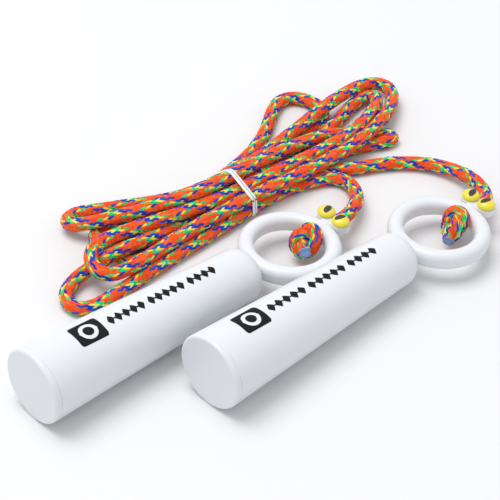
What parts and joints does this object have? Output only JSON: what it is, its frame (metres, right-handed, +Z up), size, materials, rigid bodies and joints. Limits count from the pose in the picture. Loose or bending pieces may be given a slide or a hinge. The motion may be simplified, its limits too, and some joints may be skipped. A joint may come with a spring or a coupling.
{
  "type": "skipping rope",
  "caption": "Skipping rope with hollow tapered handles that end in rings with bulging eyes; the braided rope is knotted in each ring, folded into a hank and held by a twist tie.",
  "frame": {"origin": "on the floor, under the middle of the two handles' box", "axes": "+X along the handles from their capped ends towards their rings, +Z up, +Y towards the folded rope"},
  "size_m": [0.2608, 0.1459, 0.0318],
  "materials": {
    "white_plastic": "satin moulded",
    "yellow_plastic": "gloss moulded",
    "dark_plastic": "matte",
    "braided_rope": "braided, several colours",
    "sealed_rope_end": "melted",
    "tie_plastic": "thin film",
    "tie_steel": "drawn wire"
  },
  "bodies": {
    "rope": {"rope_hank": "braided_rope", "rope_tail_left": "braided_rope", "rope_tail_right": "braided_rope", "rope_knot_left": "braided_rope", "rope_knot_right": "braided_rope", "rope_end_left": "sealed_rope_end", "rope_end_right": "sealed_rope_end", "tie_strip": "tie_plastic", "tie_wire": "tie_steel"},
    "left_handle": {"left_grip": "white_plastic", "left_end_cap": "white_plastic", "left_ring_head": "white_plastic", "left_eye_outer": "yellow_plastic", "left_eye_inner": "yellow_plastic", "left_pupil_outer": "dark_plastic", "left_pupil_inner": "dark_plastic"},
    "right_handle": {"right_grip": "white_plastic", "right_end_cap": "white_plastic", "right_ring_head": "white_plastic", "right_eye_outer": "yellow_plastic", "right_eye_inner": "yellow_plastic", "right_pupil_outer": "dark_plastic", "right_pupil_inner": "dark_plastic"}
  },
  "joints": [
    {"name": "left_handle_swivel", "type": "hinge", "parent": "rope", "child": "left_handle", "pos_m": [0.04628, 0.01694, 0.00993], "axis": [0.9991, -0.0166, -0.0389], "continuous": true},
    {"name": "right_handle_swivel", "type": "hinge", "parent": "rope", "child": "right_handle", "pos_m": [0.1015, -0.01694, 0.00993], "axis": [0.9991, 0.0166, -0.0389], "continuous": true}
  ]
}
